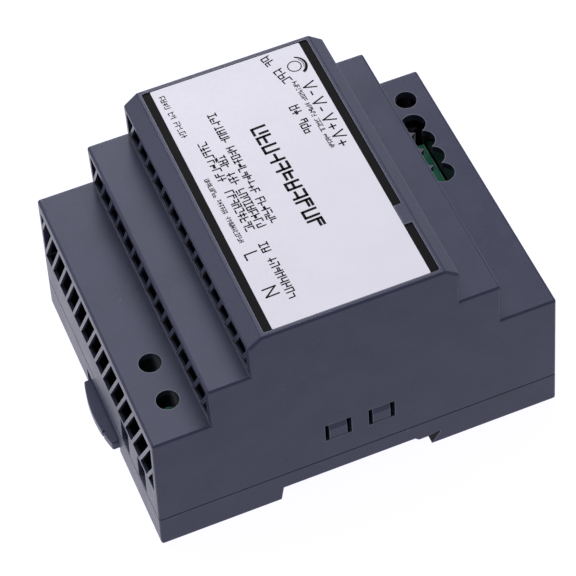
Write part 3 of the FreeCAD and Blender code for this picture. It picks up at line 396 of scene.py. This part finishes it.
class Print:
    """Flat ink strokes on the label. Letters stand with their tops towards +X and read towards -Y."""

    def __init__(self):
        self.mesh = bmesh.new()

    def face(self, points):
        low, high = LABEL_TOP + 0.003 * MM, LABEL_TOP + 0.02 * MM
        top = [self.mesh.verts.new((x * MM, y * MM, high)) for x, y in points]
        bottom = [self.mesh.verts.new((x * MM, y * MM, low)) for x, y in points]
        self.mesh.faces.new(top)
        self.mesh.faces.new(bottom[::-1])
        for i in range(len(points)):
            k = (i + 1) % len(points)
            self.mesh.faces.new((top[k], top[i], bottom[i], bottom[k]))

    def stroke(self, a, b, width):
        a, b = Vector(a), Vector(b)
        along = (b - a).normalized() * width / 2
        across = Vector((-along.y, along.x))
        a, b = a - along * 0.9, b + along * 0.9
        self.face([a - across, b - across, b + across, a + across])

    def arc(self, centre, radius, start, end, width, taper=1.0):
        """A curved stroke, in degrees from +X towards +Y; taper is the end's width over the start's."""
        steps = max(6, int(abs(end - start) / 8))
        rings = []
        for i in range(steps + 1):
            t = i / steps
            angle = math.radians(start + (end - start) * t)
            half = width * (1 + (taper - 1) * t) / 2
            rings.append([(centre[0] + (radius + side * half) * math.cos(angle),
                           centre[1] + (radius + side * half) * math.sin(angle)) for side in (-1, 1)])
        for (a, b), (c, d) in zip(rings, rings[1:]):
            self.face([a, b, d, c] if end > start else [a, c, d, b])

    def frame(self, start, end):
        """Unit vectors along the reading direction and towards the letters' tops."""
        along = (Vector(end) - Vector(start)).normalized()
        return along, Vector((-along.y, along.x))

    def word(self, text, start, height, width, tilt=0.0, gap=0.3):
        """A few plain capital letters and signs from start, the lower left corner of the first."""
        along = Vector((math.sin(math.radians(tilt)), -math.cos(math.radians(tilt))))
        up = Vector((-along.y, along.x))
        place = Vector(start)
        for letter in text:
            strokes = GLYPHS[letter]
            for a, b in strokes:
                self.stroke(place + (along * a[0] + up * a[1]) * height,
                            place + (along * b[0] + up * b[1]) * height, width)
            place += along * height * (max(p[0] for s in strokes for p in s) + gap)

    def greek(self, start, end, height, count, width, seed, blanks=()):
        """A line of stand-in characters: each is a few strokes that spell nothing."""
        rng = random.Random(seed)
        along, up = self.frame(start, end)
        pitch = (Vector(end) - Vector(start)).length / count
        wide = pitch * 0.62
        for i in range(count):
            if i in blanks:
                continue
            place = Vector(start) + along * pitch * i
            stems = rng.choice(((0.0,), (0.0, 1.0), (1.0,), (0.0,), (0.5,), (0.0, 1.0)))
            for x in stems:
                low, high = (0.0, 1.0) if rng.random() < 0.7 else rng.choice(((0.0, 0.55), (0.4, 1.0)))
                self.stroke(place + along * wide * x + up * height * low,
                            place + along * wide * x + up * height * high, width)
            for level in rng.sample((0.0, 0.33, 0.5, 0.72, 1.0), rng.choice((1, 2, 2))):
                self.stroke(place + up * height * level, place + along * wide + up * height * level, width)

    def finish(self, name):
        bmesh.ops.recalc_face_normals(self.mesh, faces=self.mesh.faces)
        data = bpy.data.meshes.new(name)
        self.mesh.to_mesh(data)
        self.mesh.free()
        data.materials.append(MATERIALS["panel_black"])
        piece = bpy.data.objects.new(name, data)
        bpy.context.scene.collection.objects.link(piece)
        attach(piece, "enclosure")


def label_print():
    """All print on the label, in mm: the adjust symbol, generic marks and lines that spell nothing."""
    ink = Print()
    adjust = (13.6, 28.3)
    ink.arc(adjust, 1.45, 0, 360, 0.24)
    ink.arc(adjust, 2.05, -30, 50, 0.16)
    ink.arc(adjust, 2.55, 70, -62, LETTER, taper=2.1)
    ink.greek((7.8, 33.0), (10.0, 24.0), 1.9, 6, PLAIN, 1, blanks=(2,))
    for y, text in ((22.8, "V-"), (17.8, "V-"), (12.7, "V+"), (7.7, "V+")):
        ink.word(text, (13.0 + (22.8 - y) * 0.02, y), 2.6, LETTER, tilt=LEAN)
    ink.greek((11.4, 24.2), (11.8, 3.9), 0.95, 30, SMALL, 2, blanks=(9, 16, 23))
    ink.greek((8.1, 17.9), (8.5, 9.4), 1.9, 6, PLAIN, 3, blanks=(2,))
    ink.greek((-1.4, 15.5), (-0.1, -15.0), 2.9, 11, 0.60, 4)
    ink.greek((-8.3, 23.0), (-7.4, -9.8), 1.7, 26, PLAIN, 5, blanks=(7, 19))
    ink.greek((-10.9, 11.4), (-9.9, -9.8), 1.7, 17, PLAIN, 6, blanks=(3, 7))
    ink.greek((-13.0, 16.4), (-12.4, -9.8), 1.7, 20, PLAIN, 7, blanks=(9, 10))
    ink.greek((-15.3, 6.9), (-14.8, -11.7), 0.95, 27, SMALL, 8, blanks=(8, 15))
    ink.greek((-15.8, 32.0), (-15.3, 19.0), 1.15, 13, 0.20, 9, blanks=(4, 7))
    ink.greek((-11.5, -13.4), (-11.0, -29.1), 1.7, 11, PLAIN, 10, blanks=(2,))
    ink.word("L", (-15.1, -14.8), 2.6, LETTER, tilt=LEAN)
    ink.word("N", (-15.2, -24.5), 2.8, LETTER, tilt=LEAN)
    ink.finish("label_print")


# ---- latch spring ----------------------------------------------------------------------------------------
def latch_spring():
    """The coil as a mesh; its fixed end is against the rear cover."""
    low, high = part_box("latch_spring")
    centre_y, centre_z = (low.y + high.y) / 2, (low.z + high.z) / 2
    wire = 0.2 * MM
    radius = (high.z - low.z) / 2 - wire
    length = high.x - low.x - 2 * wire
    turns, per_turn, around = 9, 24, 8
    steps = turns * per_turn
    mesh = bmesh.new()
    rings = []
    for i in range(steps + 1):
        t = i / steps
        angle = 2 * math.pi * turns * t
        radial = Vector((0, math.cos(angle), math.sin(angle)))
        centre = Vector((low.x + wire + length * t, centre_y, centre_z)) + radial * radius
        tangent = Vector((length / steps, -math.sin(angle) * radius * 2 * math.pi * turns / steps,
                          math.cos(angle) * radius * 2 * math.pi * turns / steps)).normalized()
        side = tangent.cross(radial).normalized()
        rings.append([mesh.verts.new(centre + (radial * math.cos(a) + side * math.sin(a)) * wire)
                      for a in (2 * math.pi * k / around for k in range(around))])
    for a, b in zip(rings, rings[1:]):
        for k in range(around):
            n = (k + 1) % around
            mesh.faces.new((a[k], a[n], b[n], b[k])).smooth = True
    mesh.faces.new(rings[0][::-1])
    mesh.faces.new(rings[-1])
    bmesh.ops.recalc_face_normals(mesh, faces=mesh.faces)
    data = bpy.data.meshes.new("latch_spring_coil")
    mesh.to_mesh(data)
    mesh.free()
    data.materials.append(MATERIALS["spring_steel"])
    piece = bpy.data.objects.new("latch_spring_coil", data)
    bpy.context.scene.collection.objects.link(piece)
    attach(piece, "enclosure")
    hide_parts("latch_spring")
    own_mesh(piece)


camera()
studio()
dress_nodes()
label_print()
latch_spring()
